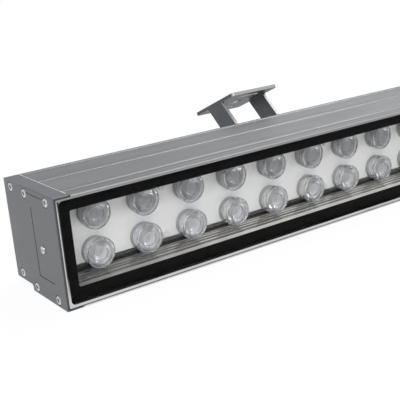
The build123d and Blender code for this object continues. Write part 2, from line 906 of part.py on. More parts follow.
# ---------------------------------------------------------------- cable gland
def gland_pieces():
    y, z = gland_y, gland_z
    inner = length - cap_skin
    seat = length + gland_washer_thickness
    neck = seat + gland_hex_thickness
    cage_end = neck + gland_cage_length
    seal_start = neck - gland_seal_depth
    nut_end = neck + gland_nut_length
    locknut_start = inner - gland_locknut_thickness
    thread_start = locknut_start - gland_tail

    body = hex_x(y, z, gland_hex_radius, seat, neck)
    body += rod_x(y, z, gland_thread_radius, thread_start, neck)
    body += rod_x(y, z, gland_thread_radius - gland_cage_step, neck, cage_end)
    body -= rod_x(y, z, gland_bore_radius, thread_start - 1, cage_end + 1)
    body -= rod_x(y, z, gland_seal_radius, seal_start, cage_end + 1)

    hole = gland_thread_radius + gland_fit_gap
    washer = ring_x(y, z, gland_thread_radius + gland_washer_rim, hole, length, seat)
    locknut = hex_x(y, z, gland_hex_radius, locknut_start, inner)
    locknut -= rod_x(y, z, hole, locknut_start - 1, inner + 1)
    seal = ring_x(y, z, gland_seal_radius - gland_fit_gap, gland_bore_radius, seal_start, cage_end)

    nut = rod_x(y, z, gland_nut_radius, neck + gland_nut_gap, nut_end)
    nut = fillet(nut.edges().sort_by(Axis.X)[-1], gland_nut_round)
    nut -= rod_x(y, z, gland_thread_radius - gland_cage_step + gland_fit_gap, neck, cage_end + gland_fit_gap)
    nut -= rod_x(y, z, gland_bore_radius, neck, nut_end + 1)
    flute = Pos(neck + gland_flute_length / 2 + 1, gland_nut_radius, 0) * Box(
        gland_flute_length, 2 * gland_flute_depth, gland_flute_width)
    for step in range(gland_flutes):
        nut -= Pos(0, y, z) * Rot(360 / gland_flutes * step, 0, 0) * flute
    return body, washer, locknut, seal, nut


# ---------------------------------------------------------------- brackets and hinge blocks
def leg_direction():
    return cos(radians(leg_angle)), sin(radians(leg_angle))


def plate_direction():
    return cos(radians(plate_angle)), -sin(radians(plate_angle))


def plate_centre():
    """Middle of the plate's inner face, where the legs' centre line meets it, as (y, z)."""
    uy, uz = leg_direction()
    return pivot_y + leg_length * uy, slot_z + leg_length * uz


def plate_plane(height_above=0.0):
    """Plane on the plate's inner face, with local x along X and local y falling to the back."""
    ny, nz = -plate_direction()[1], plate_direction()[0]
    cy, cz = plate_centre()
    origin = (bracket_centre_x, cy + ny * height_above, cz + nz * height_above)
    return Plane(origin=origin, x_dir=(-1, 0, 0), z_dir=(0, -ny, -nz))


def leg_outline():
    """A leg seen along X: two raked sides from the pivot's height up to the plate."""
    uy, uz = leg_direction()
    ey, ez = plate_direction()
    wy, wz = -uz, uy
    corners = []
    for side in (1, -1):
        shift = -side * leg_half_width * (wy * ez - wz * ey) / (uy * ez - uz * ey)
        corners.append((side, leg_length + shift + bracket_sheet / 2))
    corners += [(-1, 0.0), (1, 0.0)]
    points = []
    for side, reach in corners:
        across = side * leg_half_width
        points.append((pivot_y + across * wy + reach * uy, slot_z + across * wz + reach * uz))
    return points


def bracket():
    x0 = bracket_centre_x - bracket_width / 2
    x1 = x0 + bracket_width
    plane = plate_plane()
    middle = (plate_rear - plate_front) / 2
    blank = plane * Pos(0, middle) * RectangleRounded(bracket_width, plate_front + plate_rear, plate_corner)
    piece = extrude(blank, -bracket_sheet)
    for low in (x0, x1 - bracket_sheet):
        leg = prism_x(leg_outline(), low, low + bracket_sheet)
        leg += rod_x(pivot_y, slot_z, leg_half_width, low, low + bracket_sheet)
        piece += leg
    for offset in (-mount_slot_offset, mount_slot_offset):
        slot = plane * Pos(0, middle + offset) * SlotOverall(mount_slot_length, mount_slot_width)
        piece -= extrude(slot, bracket_sheet + 1, both=True)
    piece -= extrude(plane * Pos(0, middle) * Circle(anchor_hole_radius), bracket_sheet + 1, both=True)
    return piece - rod_x(pivot_y, slot_z, pivot_bolt_radius + pivot_running_gap, x0 - 1, x1 + 1)


def block_half_length():
    return bracket_width / 2 - bracket_sheet - side_gap - friction_washer


def hinge_block():
    half = block_half_length()
    x = (bracket_centre_x - half, bracket_centre_x + half)
    block = bar(x, (depth, block_rear_y), (slot_z - block_half_height, slot_z + block_half_height))
    rear_edges = block.edges().filter_by(Axis.X).group_by(Axis.Y)[-1]
    block = fillet(rear_edges, block_round)
    block += bar(x, (depth - tongue_depth, depth), (slot_z - tongue_width / 2, slot_z + tongue_width / 2))
    bore_depth = pivot_thread_depth + block_screw_sink
    for low, high in ((x[0] - 1, x[0] + bore_depth), (x[1] - bore_depth, x[1] + 1)):
        block -= rod_x(pivot_y, slot_z, pivot_bolt_radius + thread_gap, low, high)
    for sx in block_screw_x():
        block -= rod_y(sx, slot_z, block_screw_radius + screw_hole_gap, depth - tongue_depth - 1,
                       block_rear_y)
        block -= rod_y(sx, slot_z, block_screw_head_radius + head_gap, block_screw_seat(), block_rear_y + 1)
    return block


def block_screw_seat():
    return block_rear_y - block_screw_head_height - block_screw_sink


def block_screw_x():
    return [bracket_centre_x + side * block_screw_pitch / 2 for side in (-1, 1)]


def block_screws():
    seat = block_screw_seat()
    top = seat + block_screw_head_height
    tip = depth - slot_lip - slot_nut_depth
    screws = []
    for sx in block_screw_x():
        head = rod_y(sx, slot_z, block_screw_head_radius, seat, top)
        hexagon = Plane(origin=(sx, top, slot_z), z_dir=(0, -1, 0)) * RegularPolygon(block_screw_socket, 6)
        head -= extrude(hexagon, block_screw_socket_depth)
        screws.append(head + rod_y(sx, slot_z, block_screw_radius, tip, seat))
    return group(screws)


def slot_nut():
    half = slot_nut_length / 2
    y1 = depth - slot_lip
    nut = bar((bracket_centre_x - half, bracket_centre_x + half), (y1 - slot_nut_depth, y1),
              (slot_z - slot_nut_width / 2, slot_z + slot_nut_width / 2))
    for sx in block_screw_x():
        nut -= rod_y(sx, slot_z, block_screw_radius + thread_gap, y1 - slot_nut_depth - 1, y1 + 1)
    return nut


def beside_block(start, thickness, piece):
    """A piece at each side of the hinge block, from a distance start off the bracket's middle outwards."""
    pieces = []
    for side in (-1, 1):
        span = sorted((bracket_centre_x + side * start, bracket_centre_x + side * (start + thickness)))
        pieces.append(piece(*span))
    return pieces


def washer_pair(start, thickness, outer, inner):
    return group(beside_block(start, thickness, lambda x0, x1: ring_x(pivot_y, slot_z, outer, inner, x0, x1)))


def outer_washer_start():
    return bracket_width / 2 + side_gap


def lock_washer_start():
    return outer_washer_start() + washer_thickness


def friction_washers():
    hole = pivot_bolt_radius + pivot_running_gap
    return washer_pair(block_half_length(), friction_washer, friction_washer_radius, hole)


def plain_washers():
    hole = pivot_bolt_radius + washer_gap
    return washer_pair(outer_washer_start(), washer_thickness, washer_radius, hole)


def lock_washers():
    hole = pivot_bolt_radius + washer_gap
    return washer_pair(lock_washer_start(), lock_washer_thickness, lock_washer_radius, hole)


def pivot_bolts():
    seat = lock_washer_start() + lock_washer_thickness
    tip = block_half_length() - pivot_thread_depth
    corner = pivot_head_radius / cos(radians(30))
    shanks = beside_block(tip, seat - tip, lambda x0, x1: rod_x(pivot_y, slot_z, pivot_bolt_radius, x0, x1))
    heads = beside_block(seat, pivot_head_height, lambda x0, x1: hex_x(pivot_y, slot_z, corner, x0, x1))
    return group([shank + head for shank, head in zip(shanks, heads)])


# ---------------------------------------------------------------- assembly
keep("housing", housing())
keep("end_cap_left", left_cap())
keep("end_cap_right", right_cap())
keep("end_gasket_left", end_gasket())
keep("end_gasket_right", mirrored(end_gasket()))
end_screws = group([cap_screw(y, z) for y, z in screw_places()])
keep("end_cap_screws_left", end_screws)
keep("end_cap_screws_right", mirrored(end_screws))
keep("test_port_screw", test_port_screw())

keep("glass_frame", frame_ring())
keep("front_glass", glass_pane())
keep("glass_border", glass_border())
keep("glass_seal", glass_seal())

for side, name in ((0, "left"), (1, "right")):
    keep(f"led_board_{name}", led_board(side))
    keep(f"thermal_pad_{name}", thermal_pad(side))
    keep(f"board_socket_{name}", board_connector(side))
keep("board_screws", board_screws())
keep("led_emitters", group(optic_row(emitter(), 0) + optic_row(emitter(), 1)))
keep("lens_holders", group(optic_row(holder(), 0) + optic_row(holder(), 1)))
keep("lenses_lower_row", group(optic_row(lens(), 0)))
keep("lenses_upper_row", group(optic_row(lens(), 1)))

keep("driver_tray", driver_tray())
keep("driver_case", driver_case())
keep("driver_lid", driver_lid())
keep("driver_board", driver_board())
keep("driver_standoffs", driver_standoffs())
keep("driver_transformer", driver_transformer())
keep("driver_capacitors", driver_capacitors())
keep("driver_chokes", driver_chokes())
keep("driver_transistors", driver_transistors())
keep("driver_clips", driver_clips())
keep("clip_screws", clip_screws())
keep("terminal_block", terminal_block())
keep("terminal_screws", terminal_screws())
keep("mains_leads", mains_leads())
keep("board_leads", board_leads())
keep("lead_grommet", grommet())

gland_names = ("gland_body", "gland_washer", "gland_locknut", "gland_seal", "gland_nut")
for name, piece in zip(gland_names, gland_pieces()):
    keep(name, piece)

bracket_set = {
    "bracket": bracket(),
    "hinge_block": hinge_block(),
    "block_screws": block_screws(),
    "slot_nut": slot_nut(),
    "friction_washers": friction_washers(),
    "pivot_washers": plain_washers(),
    "lock_washers": lock_washers(),
    "pivot_bolts": pivot_bolts(),
}
for name, piece in bracket_set.items():
    keep(f"{name}_left", piece)
    keep(f"{name}_right", mirrored(piece))

# ---------------------------------------------------------------- to the row's frame, and out
boxes = [shape.bounding_box() for shape in node_shapes.values()]
low = [min(values) for values in zip(*(tuple(box.min) for box in boxes))]
high = [max(values) for values in zip(*(tuple(box.max) for box in boxes))]
origin = (-(low[0] + high[0]) / 2, -(low[1] + high[1]) / 2, -low[2])
os.makedirs("parts", exist_ok=True)
for name, shape in node_shapes.items():
    export_step(Pos(*origin) * shape, f"parts/{name}.step")
print("origin shift", [round(value, 4) for value in origin])
print("pivot axis y, z", round(pivot_y + origin[1], 4), round(slot_z + origin[2], 4))
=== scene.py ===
"""Outdoor wall washer light: materials, detailed pieces, floor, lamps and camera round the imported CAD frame.

Metres, in the frame of the CAD part: +X along the light, +Y from the glass to the brackets, +Z up.
"""

import json
import math

import bpy
from mathutils import Matrix, Vector


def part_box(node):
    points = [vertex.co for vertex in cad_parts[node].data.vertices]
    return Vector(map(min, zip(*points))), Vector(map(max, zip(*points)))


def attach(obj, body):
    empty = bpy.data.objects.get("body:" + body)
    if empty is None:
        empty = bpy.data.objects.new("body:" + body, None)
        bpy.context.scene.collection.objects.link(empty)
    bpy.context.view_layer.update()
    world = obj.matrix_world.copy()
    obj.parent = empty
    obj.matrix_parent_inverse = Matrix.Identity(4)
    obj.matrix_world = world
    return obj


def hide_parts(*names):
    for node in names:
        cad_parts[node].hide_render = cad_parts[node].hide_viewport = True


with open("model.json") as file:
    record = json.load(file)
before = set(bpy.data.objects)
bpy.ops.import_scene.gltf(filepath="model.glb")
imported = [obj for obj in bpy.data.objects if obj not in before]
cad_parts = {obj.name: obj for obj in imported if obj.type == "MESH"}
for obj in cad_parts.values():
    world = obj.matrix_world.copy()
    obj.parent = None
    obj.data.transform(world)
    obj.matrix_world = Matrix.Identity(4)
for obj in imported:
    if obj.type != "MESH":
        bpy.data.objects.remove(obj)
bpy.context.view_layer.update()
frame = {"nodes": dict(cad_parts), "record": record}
nodes = frame["nodes"]

MM = 0.001
SIDES = ("left", "right")
WHITE = (1, 1, 1, 1)

LENS_COUNT = 24  # in each of the two rows
LENS_SEGMENTS = 48
BRACKET_ROUNDING = 0.5 * MM
PLATE_FALL = math.radians(22.5)  # slope of the bracket's plate towards the back, at rest

POLISHED = 0.02  # roughness of glass and of a polished mould
COOL = -0.03  # the anodised skin is slightly blue

# ---------------------------------------------------------------- places taken from the frame
body_low, body_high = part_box("housing")
frame_low, frame_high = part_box("glass_frame")
lower_low, lower_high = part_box("lenses_lower_row")
upper_low, upper_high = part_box("lenses_upper_row")
glass_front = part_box("front_glass")[0].y
board_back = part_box("led_board_left")[1].y

lens_radius = (lower_high.z - lower_low.z) / 2
lens_pitch = (lower_high.x - lower_low.x - 2 * lens_radius) / (LENS_COUNT - 1)
optic_height = (lower_low.z + upper_high.z) / 2

middle_x = (frame_low.x + frame_high.x) / 2
half_length = (frame_high.x - frame_low.x) / 2
front_y = body_low.y  # the working drawings count depths from here
outer_skin = 4 * MM  # metal this near to the top or the underside has the finish of the outside

# the ridged floor of the lens chamber rises from its lip towards the board
lip_y, lip_height = front_y + 9.0 * MM, 9.0 * MM
floor_end_y, floor_end_height = front_y + 29.3 * MM, lower_low.z - 0.6 * MM


# ---------------------------------------------------------------- material helpers
class Finish:
    """A material under construction: one Principled shader and the nodes that feed it.

    A share is a number from 0 to 1 that says how much of something a place has.
    """

    def __init__(self, name, **values):
        self.material = bpy.data.materials.new(name)
        self.material.use_nodes = True
        self.tree = self.material.node_tree
        self.tree.nodes.clear()
        self.output = self.tree.nodes.new("ShaderNodeOutputMaterial")
        self.shader = self.tree.nodes.new("ShaderNodeBsdfPrincipled")
        self.tree.links.new(self.shader.outputs["BSDF"], self.output.inputs["Surface"])
        self.coordinates = self.tree.nodes.new("ShaderNodeTexCoord")
        for socket, value in values.items():
            self.shader.inputs[socket.replace("_", " ")].default_value = value

    def node(self, kind, **settings):
        made = self.tree.nodes.new("ShaderNode" + kind)
        for name, value in settings.items():
            setattr(made, name, value)
        return made

    def join(self, source, target):
        self.tree.links.new(source, target)

    def axis(self, name, space="Object"):
        """One coordinate of the place on the object, or of its normal."""
        split = self.node("SeparateXYZ")
        self.join(self.coordinates.outputs[space], split.inputs["Vector"])
        return split.outputs[name]

    def noise(self, stretch, detail=3.0, shift=(0, 0, 0)):
        """Noise on object coordinates, stretched by one number or by one for each axis."""
        if isinstance(stretch, (int, float)):
            stretch = (stretch, stretch, stretch)
        mapping = self.node("Mapping")
        mapping.inputs["Scale"].default_value = stretch
        mapping.inputs["Location"].default_value = shift
        self.join(self.coordinates.outputs["Object"], mapping.inputs["Vector"])
        texture = self.node("TexNoise")
        texture.inputs["Scale"].default_value = 1.0
        texture.inputs["Detail"].default_value = detail
        texture.inputs["Roughness"].default_value = 0.55
        self.join(mapping.outputs["Vector"], texture.inputs["Vector"])
        return texture.outputs["Fac"]

    def math(self, operation, a, b=None):
        made = self.node("Math", operation=operation)
        for socket, value in zip(made.inputs, (a, b)):
            if value is None:
                continue
            if isinstance(value, (int, float)):
                socket.default_value = value
            else:
                self.join(value, socket)
        return made.outputs["Value"]

    def times(self, a, b):
        return self.math("MULTIPLY", a, b)

    def spread(self, source, low, high, to_low=0.0, to_high=1.0):
        """Maps a value from one range to another, and clamps it."""
        ranged = self.node("MapRange")
        for name, value in (("From Min", low), ("From Max", high), ("To Min", to_low), ("To Max", to_high)):
            ranged.inputs[name].default_value = value
        self.join(source, ranged.inputs["Value"])
        return ranged.outputs["Result"]

    def amount(self, share, low, high):
        """A number from low (share 0) to high (share 1)."""
        return self.spread(share, 0.0, 1.0, low, high)

    def cloud(self, stretch, detail=3.0):
        """The share of a soft mottle."""
        return self.spread(self.noise(stretch, detail), 0.3, 0.7)

    def between(self, source, low, high, soft=0.2 * MM):
        """1 where a coordinate lies between low and high."""
        above = self.spread(source, low - soft, low + soft)
        below = self.spread(source, high - soft, high + soft, 1.0, 0.0)
        return self.times(above, below)

    def faces(self, axis, least, most):
        """How much a place faces along an axis: 0 where its normal reaches least, 1 where it reaches most."""
        return self.spread(self.axis(axis, "Normal"), least, most)

    def from_middle(self):
        """How far a place lies from the middle of the light's length."""
        return self.math("ABSOLUTE", self.math("SUBTRACT", self.axis("X"), middle_x))

    def blend(self, share, a, b):
        """A colour from a (share 0) to b (share 1)."""
        mix = self.node("Mix", data_type="RGBA")
        self.join(share, mix.inputs[0])
        for socket, value in ((mix.inputs[6], a), (mix.inputs[7], b)):
            if isinstance(value, tuple):
                socket.default_value = (*value, 1.0)
            else:
                self.join(value, socket)
        return mix.outputs[2]

    def colour(self, source):
        self.join(source, self.shader.inputs["Base Color"])

    def roughness(self, source):
        self.join(source, self.shader.inputs["Roughness"])

    def bump(self, source, height, strength):
        bump = self.node("Bump")
        bump.inputs["Strength"].default_value = strength
        bump.inputs["Distance"].default_value = height
        self.join(source, bump.inputs["Height"])
        self.join(bump.outputs["Normal"], self.shader.inputs["Normal"])

    def show(self, share, first, second):
        """The surface shows one shader at share 0 and the other at share 1."""
        mix = self.node("MixShader")
        self.join(share, mix.inputs["Fac"])
        self.join(first, mix.inputs[1])
        self.join(second, mix.inputs[2])
        self.join(mix.outputs["Shader"], self.output.inputs["Surface"])


def grey(value, warm=0.0):
    return (value * (1 + warm), value, value * (1 - warm))


# ---------------------------------------------------------------- materials
def anodised_outside(finish, lines):
    """Colour of the housing's outside: drawing lines, grey groove walls, painted shade in a line before the
    first groove, and painted highlights on the rims round the glass frame."""
    y, z = finish.axis("Y"), finish.axis("Z")
    colour = finish.blend(finish.spread(lines, 0.35, 0.65), grey(0.170, COOL), grey(0.290, COOL))
    groove_walls = finish.times(finish.between(finish.axis("Z", "Normal"), 0.72, 0.92, soft=0.02),
                                finish.spread(z, body_high.z - 0.9 * MM, body_high.z - 0.8 * MM))
    colour = finish.blend(groove_walls, colour, grey(0.17, COOL))
    # painted shade: a darker line on the top just before the first groove
    painted_shade_before_groove = finish.times(finish.between(y, front_y + 8.6 * MM, front_y + 12.1 * MM, soft=0.4 * MM),
                                 finish.faces("Z", 0.95, 0.99))
    colour = finish.blend(finish.times(painted_shade_before_groove, 0.45), colour, grey(0.10, COOL))
    # painted highlight: the front rim above the glass and its rounded top edge are painted pale
    painted_highlight_upper_rim = finish.times(finish.faces("Y", -0.25, -0.8),
                             finish.between(y, front_y - 5 * MM, front_y + 6 * MM))
    colour = finish.blend(painted_highlight_upper_rim, colour, grey(0.56))
    # painted highlight: the front rim below the glass is painted paler still
    painted_highlight_lower_rim = finish.times(finish.faces("Y", -0.6, -0.9),
                             finish.spread(z, optic_height, optic_height - 5 * MM))
    return finish.blend(painted_highlight_lower_rim, colour, grey(0.62))


def ridged_chamber(finish, front_crest_highlight):
    """Colour of the lens chamber: ridges with a random wear tone, painted shade in the valleys,
    a painted highlight on the crest near the lip, and painted shade at both ends.
    """
    # depth below the crests of the ridges, the same for the floor and the ceiling
    slope = (floor_end_height - lip_height) / (floor_end_y - lip_y)
    from_optic_axis = finish.math("ABSOLUTE", finish.math("SUBTRACT", finish.axis("Z"), optic_height))
    rise = finish.times(finish.math("SUBTRACT", finish.axis("Y"), lip_y), slope)
    crest_distance = finish.math("SUBTRACT", optic_height - lip_height, rise)
    # painted shade: the valleys between the ridges are painted dark
    valley = finish.spread(finish.math("SUBTRACT", from_optic_axis, crest_distance), 0.08 * MM, 0.5 * MM)
    wear = finish.spread(finish.noise((5, 330, 330), detail=1.0, shift=(2, 0, 0)), 0.36, 0.64)
    crests = finish.blend(wear, grey(0.30, 0.02), grey(0.80, 0.04))
    valleys = finish.blend(wear, grey(0.05, 0.02), grey(0.22, 0.04))
    colour = finish.blend(valley, crests, valleys)
    # painted highlight: the crest near the lip is painted light
    colour = finish.blend(finish.times(front_crest_highlight, 0.85), colour, grey(0.80, 0.02))
    # painted shade towards both ends of the chamber
    ends = finish.spread(finish.from_middle(), half_length - 160 * MM, half_length - 15 * MM)
    return finish.blend(finish.times(ends, 0.75), colour, grey(0.10))


def extruded_aluminium():
    """Satin anodised outside with drawing lines along X, and smoother metal, a little warmer, in the lens
    chamber."""
    finish = Finish("anodised_extrusion")
    streaks = finish.noise((7, 520, 520), detail=4.0)
    grain = finish.noise((160, 2600, 2600), detail=2.0)
    lines = finish.math("ADD", finish.times(streaks, 0.7), finish.times(grain, 0.3))
    chamber = finish.times(finish.between(finish.axis("Y"), glass_front + 5.2 * MM, board_back + 0.5 * MM),
                           finish.between(finish.axis("Z"), outer_skin, body_high.z - outer_skin))
    # the crest near the lip carries a painted highlight and is less metallic
    front_crest_highlight = finish.between(finish.axis("Y"), lip_y + 2.0 * MM, lip_y + 7.4 * MM)
    finish.colour(finish.blend(chamber, anodised_outside(finish, lines), ridged_chamber(finish, front_crest_highlight)))
    bright_crest = finish.times(front_crest_highlight, chamber)
    finish.join(finish.amount(bright_crest, 0.85, 0.3), finish.shader.inputs["Metallic"])
    satin = finish.spread(lines, 0.3, 0.7, 0.34, 0.50)
    drawn = finish.spread(lines, 0.3, 0.7, 0.16, 0.28)
    outside = finish.math("SUBTRACT", 1.0, chamber)
    finish.roughness(finish.math("ADD", finish.times(chamber, drawn), finish.times(outside, satin)))
    finish.bump(lines, 0.06 * MM, 0.5)
    return finish.material


def cast_cap():
    """Die-cast end cap in a bluish grey lacquer with a fine orange peel and a few specks. Its front walls,
    beside the glass frame, are darker with painted shade."""
    finish = Finish("lacquered_cap", Metallic=0.35)
    cloud = finish.cloud(60)
    specks = finish.spread(finish.noise(1500, detail=1.0, shift=(3, 5, 7)), 0.66, 0.72)
    paint = finish.blend(cloud, (0.112, 0.119, 0.129), (0.136, 0.143, 0.153))
    paint = finish.blend(finish.times(specks, 0.5), paint, (0.24, 0.25, 0.26))
    # painted shade on the front walls beside the glass frame
    shaded_front_walls = finish.faces("Y", -0.7, -0.95)
    finish.colour(finish.blend(shaded_front_walls, paint, (0.052, 0.056, 0.062)))
    finish.roughness(finish.amount(cloud, 0.40, 0.52))
    finish.bump(finish.noise(900, detail=2.0), 0.04 * MM, 0.35)
    return finish.material


def bright_metal(name, low, high, rough=(0.22, 0.36), warm=0.0):
    """Bare or plated metal with a fine grain."""
    finish = Finish(name, Metallic=1.0)
    cloud = finish.cloud(300)
    finish.colour(finish.blend(cloud, grey(low, warm), grey(high, warm)))
    finish.roughness(finish.amount(cloud, *rough))
    finish.bump(finish.noise(2500, detail=2.0), 0.02 * MM, 0.3)
    return finish.material


def bevelled_frame():
    """The glass frame, milled bright. Its face leans towards the glass, and painted shade makes the top run
    greyer. Painted shade darkens the inner half of its end runs."""
    finish = Finish("bright_frame", Metallic=1.0)
    height = finish.axis("Z")
    cloud = finish.cloud((40, 300, 300))
    # painted shade: the top run is painted greyer
    shaded_top_run = finish.spread(height, body_high.z - 12 * MM, body_high.z - 2.5 * MM)
    face = finish.blend(shaded_top_run, finish.blend(cloud, grey(0.52), grey(0.66)), grey(0.33))
    # painted shade darkens the inner half of the end runs
    inner_half = finish.between(finish.from_middle(), half_length - 2.2 * MM, half_length - 0.95 * MM,
                                soft=0.1 * MM)
    painted_shade_end_run = finish.times(finish.spread(height, 8 * MM, 24 * MM),
                           finish.spread(height, frame_high.z - 1.2 * MM, frame_high.z - 1.5 * MM))
    finish.colour(finish.blend(finish.times(inner_half, painted_shade_end_run), face, grey(0.03)))
    finish.roughness(finish.amount(cloud, 0.25, 0.38))
    finish.bump(finish.noise(2500, detail=2.0), 0.02 * MM, 0.3)
    return finish.material


def plain_finish(name, low, high, rough=(0.4, 0.55), scale=400, **values):
    """A moulded or printed surface with a slight mottle."""
    finish = Finish(name, **values)
    cloud = finish.cloud(scale)
    finish.colour(finish.blend(cloud, low, high))
    finish.roughness(finish.amount(cloud, *rough))
    finish.bump(finish.noise(scale * 4, detail=2.0), 0.03 * MM, 0.3)
    return finish.material


def clear_pane():
    """Thin clear glass: light passes straight through, and the surface mirrors a little."""
    finish = Finish("clear_pane", Roughness=POLISHED, IOR=1.45)
    finish.shader.inputs["Base Color"].default_value = (0.9, 0.93, 0.92, 1.0)
    through = finish.node("BsdfTransparent")
    through.inputs["Color"].default_value = (0.985, 0.99, 0.988, 1.0)
    gloss = finish.node("BsdfGlossy")
    gloss.inputs["Roughness"].default_value = POLISHED
    fresnel = finish.node("Fresnel")
    fresnel.inputs["IOR"].default_value = 1.055
    finish.show(fresnel.outputs["Fac"], through.outputs["BSDF"], gloss.outputs["BSDF"])
    return finish.material


def clear_acrylic():
    """Moulded clear acrylic with a fine frost in the dish of each lens. Lamps shine through it on to the
    board."""
    finish = Finish("clear_acrylic", Roughness=POLISHED, IOR=1.49, Transmission_Weight=0.92)
    edge = finish.node("LayerWeight")
    edge.inputs["Blend"].default_value = 0.5
    grazing = finish.spread(edge.outputs["Facing"], 0.45, 0.95)
    finish.colour(finish.blend(grazing, (0.80, 0.80, 0.83), (0.12, 0.12, 0.13)))
    dish = finish.times(finish.faces("Y", -0.7, -0.95),
                        finish.between(finish.axis("Y"), lower_low.y + 0.2 * MM, lower_low.y + 1.5 * MM))
    finish.roughness(finish.amount(dish, POLISHED, 0.32))
    finish.bump(finish.noise(160, detail=1.0), 0.1 * MM, 0.12)
    through = finish.node("BsdfTransparent")
    through.inputs["Color"].default_value = (0.80, 0.80, 0.80, 1.0)
    path = finish.node("LightPath")
    finish.show(path.outputs["Is Shadow Ray"], finish.shader.outputs["BSDF"], through.outputs["BSDF"])
    return finish.material


def bracket_paint(name, worn_and_highlit_edges):
    """Grey-blue paint. On the brackets' sheet the rounded and cut edges are lighter: worn paint and a painted
    highlight.
    """
    finish = Finish(name, Metallic=0.4, Specular_IOR_Level=0.2)
    cloud = finish.cloud(90, detail=4.0)
    paint = finish.blend(cloud, (0.070, 0.077, 0.084), (0.100, 0.107, 0.114))
    if worn_and_highlit_edges:
        off_plate = finish.node("VectorMath", operation="DOT_PRODUCT")
        finish.join(finish.coordinates.outputs["Normal"], off_plate.inputs[0])
        off_plate.inputs[1].default_value = (0, math.sin(PLATE_FALL), math.cos(PLATE_FALL))
        sideways = finish.math("ABSOLUTE", finish.axis("X", "Normal"))
        flat = finish.math("MAXIMUM", sideways, finish.math("ABSOLUTE", off_plate.outputs["Value"]))
        # rounded and cut edges painted lighter: worn paint and a painted highlight
        paint = finish.blend(finish.spread(flat, 0.97, 0.85), paint, grey(0.42))
    finish.colour(paint)
    finish.roughness(finish.amount(cloud, 0.38, 0.50))
    finish.bump(finish.noise(1200, detail=2.0), 0.03 * MM, 0.35)
    return finish.material


acrylic = clear_acrylic()
bracket_coat = bracket_paint("painted_bracket", worn_and_highlit_edges=True)

slot_materials = {
    "anodised_aluminium": extruded_aluminium(),
    "cap_aluminium": cast_cap(),
    "bright_aluminium": bevelled_frame(),
    "clear_glass": clear_pane(),
    "clear_acrylic": acrylic,
    "bracket_paint": bracket_paint("painted_block", worn_and_highlit_edges=False),
    "stainless": bright_metal("stainless_steel", 0.50, 0.66),
    "galvanised_steel": bright_metal("galvanised_sheet", 0.42, 0.60, rough=(0.35, 0.55)),
    "nickel_brass": bright_metal("nickel_plated_brass", 0.52, 0.62, rough=(0.18, 0.3), warm=0.03),
    "black_rubber": plain_finish("black_rubber", grey(0.018), grey(0.030), rough=(0.6, 0.8)),
    "black_print": plain_finish("black_ceramic_print", grey(0.0025), grey(0.004), rough=(0.45, 0.5),
                                scale=900, Specular_IOR_Level=0.06),
    "white_solder_mask": plain_finish("white_solder_mask", grey(0.82, 0.006), grey(0.86, 0.006),
                                      rough=(0.35, 0.45), scale=120),
    "grey_pad": plain_finish("grey_gap_pad", grey(0.30), grey(0.36), rough=(0.7, 0.85)),
    "white_plastic": plain_finish("white_moulding", (0.62, 0.61, 0.58), (0.70, 0.69, 0.66)),
    "led_phosphor": plain_finish("emitter_phosphor", (0.62, 0.58, 0.42), (0.70, 0.66, 0.50),
                                 rough=(0.2, 0.3)),
    "light_silicone": plain_finish("light_silicone", grey(0.66), grey(0.74), rough=(0.35, 0.5)),
    "white_lacquer": plain_finish("white_lacquer", grey(0.70, 0.01), grey(0.76, 0.01), rough=(0.3, 0.4)),
    "driver_steel": plain_finish("driver_enamel", grey(0.55), grey(0.62)),
    "green_board": plain_finish("green_solder_mask", (0.02, 0.16, 0.07), (0.03, 0.20, 0.09),
                                rough=(0.3, 0.4)),
    "nylon": plain_finish("natural_nylon", (0.66, 0.65, 0.60), (0.74, 0.73, 0.68)),
    "ferrite": plain_finish("ferrite_and_tape", grey(0.04), grey(0.07), rough=(0.5, 0.7)),
    "capacitor_sleeve": plain_finish("capacitor_sleeve", (0.03, 0.04, 0.09), (0.05, 0.06, 0.12),
                                     rough=(0.25, 0.35)),
    "black_plastic": plain_finish("transistor_epoxy", grey(0.02), grey(0.03), rough=(0.5, 0.6)),
    "red_lead": plain_finish("red_silicone_sleeve", (0.40, 0.03, 0.02), (0.50, 0.05, 0.03),
                             rough=(0.35, 0.5)),
}
own_finish = {"lens_holders": plain_finish("grey_holder_moulding", grey(0.34), grey(0.40))}


def dress_cad_nodes():
    for part in frame["record"]["subparts"]:
        piece = nodes[part["node"]]
        if not piece.material_slots:
            piece.data.materials.append(None)
        for place in piece.material_slots:
            place.link = "OBJECT"
            place.material = own_finish.get(part["node"], slot_materials[part["material_slot"]])


dress_cad_nodes()


# ---------------------------------------------------------------- modelling helpers
def deselect_all():
    if bpy.context.object and bpy.context.object.mode != "OBJECT":
        bpy.ops.object.mode_set(mode="OBJECT")
    bpy.ops.object.select_all(action="DESELECT")


def work_on(piece):
    """Makes the piece the one that the operators act on."""
    deselect_all()
    piece.select_set(True)
    bpy.context.view_layer.objects.active = piece


def finish_piece(piece, name, material, body, replaced, smooth_angle=None):
    """Applies the place to the mesh, names, shades and paints the piece, and lets it ride on its body."""
    work_on(piece)
    bpy.ops.object.transform_apply(location=True, rotation=True, scale=True)
    if smooth_angle:
        bpy.ops.object.shade_smooth_by_angle(angle=math.radians(smooth_angle))
    piece.name = name
    piece.data.name = name
    piece.data.materials.clear()
    piece.data.materials.append(material)
    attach(piece, body)
    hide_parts(*replaced)
    return piece


